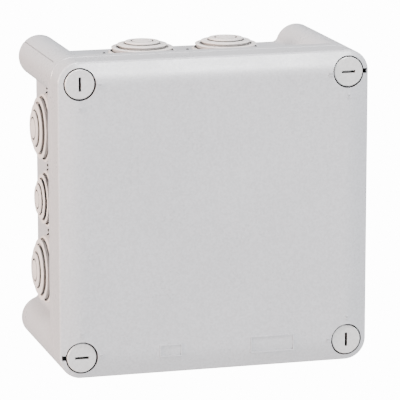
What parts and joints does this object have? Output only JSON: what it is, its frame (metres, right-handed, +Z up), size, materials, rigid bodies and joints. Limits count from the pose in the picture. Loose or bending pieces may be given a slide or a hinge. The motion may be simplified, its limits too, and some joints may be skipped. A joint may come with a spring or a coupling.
{
  "type": "electrical junction box",
  "caption": "Square surface-mounting junction box with stepped rubber cable glands on every side and a bevelled cover held by quarter-turn corner screws.",
  "frame": {"origin": "centre of the back face, which lies flat against the wall", "axes": "+Z up, +X to the right seen from the front, the front faces -Y and +Y points into the wall"},
  "size_m": [0.13, 0.0743, 0.13],
  "materials": {
    "housing": "fine matte moulded light grey plastic",
    "screw_plastic": "matte moulded light grey plastic",
    "gland_rubber": "soft light grey elastomer, slightly warm",
    "gasket": "dark closed-cell sealing foam",
    "terminal_moulding": "off-white moulded polyamide",
    "terminal_brass": "turned brass",
    "screw_steel": "zinc-plated steel"
  },
  "bodies": {
    "base": {"base_box": "housing", "terminal_block": "terminal_moulding", "terminal_sleeves": "terminal_brass", "terminal_screws": "screw_steel", "block_fixing_screws": "screw_steel", "gland_left_top": "gland_rubber", "gland_right_top": "gland_rubber", "gland_left_middle": "gland_rubber", "gland_right_middle": "gland_rubber", "gland_left_bottom": "gland_rubber", "gland_right_bottom": "gland_rubber", "gland_top_left": "gland_rubber", "gland_top_right": "gland_rubber", "gland_bottom_left": "gland_rubber", "gland_bottom_right": "gland_rubber"},
    "cover": {"front_cover": "housing", "cover_gasket": "gasket"},
    "screw_top_left": {"cover_screw_top_left": "screw_plastic"},
    "screw_top_right": {"cover_screw_top_right": "screw_plastic"},
    "screw_bottom_right": {"cover_screw_bottom_right": "screw_plastic"},
    "screw_bottom_left": {"cover_screw_bottom_left": "screw_plastic"}
  },
  "joints": [
    {"name": "cover_lift_off", "type": "slide", "parent": "base", "child": "cover", "axis": [0, -1, 0], "range_m": [0, 0.08]},
    {"name": "screw_top_left_turn", "type": "hinge", "parent": "cover", "child": "screw_top_left", "pos_m": [-0.05615, -0.0733, 0.05615], "axis": [0, 1, 0], "range_deg": [0, 90]},
    {"name": "screw_top_right_turn", "type": "hinge", "parent": "cover", "child": "screw_top_right", "pos_m": [0.05615, -0.0733, 0.05615], "axis": [0, 1, 0], "range_deg": [0, 90]},
    {"name": "screw_bottom_right_turn", "type": "hinge", "parent": "cover", "child": "screw_bottom_right", "pos_m": [0.05615, -0.0733, -0.05615], "axis": [0, 1, 0], "range_deg": [0, 90]},
    {"name": "screw_bottom_left_turn", "type": "hinge", "parent": "cover", "child": "screw_bottom_left", "pos_m": [-0.05615, -0.0733, -0.05615], "axis": [0, 1, 0], "range_deg": [0, 90]}
  ]
}
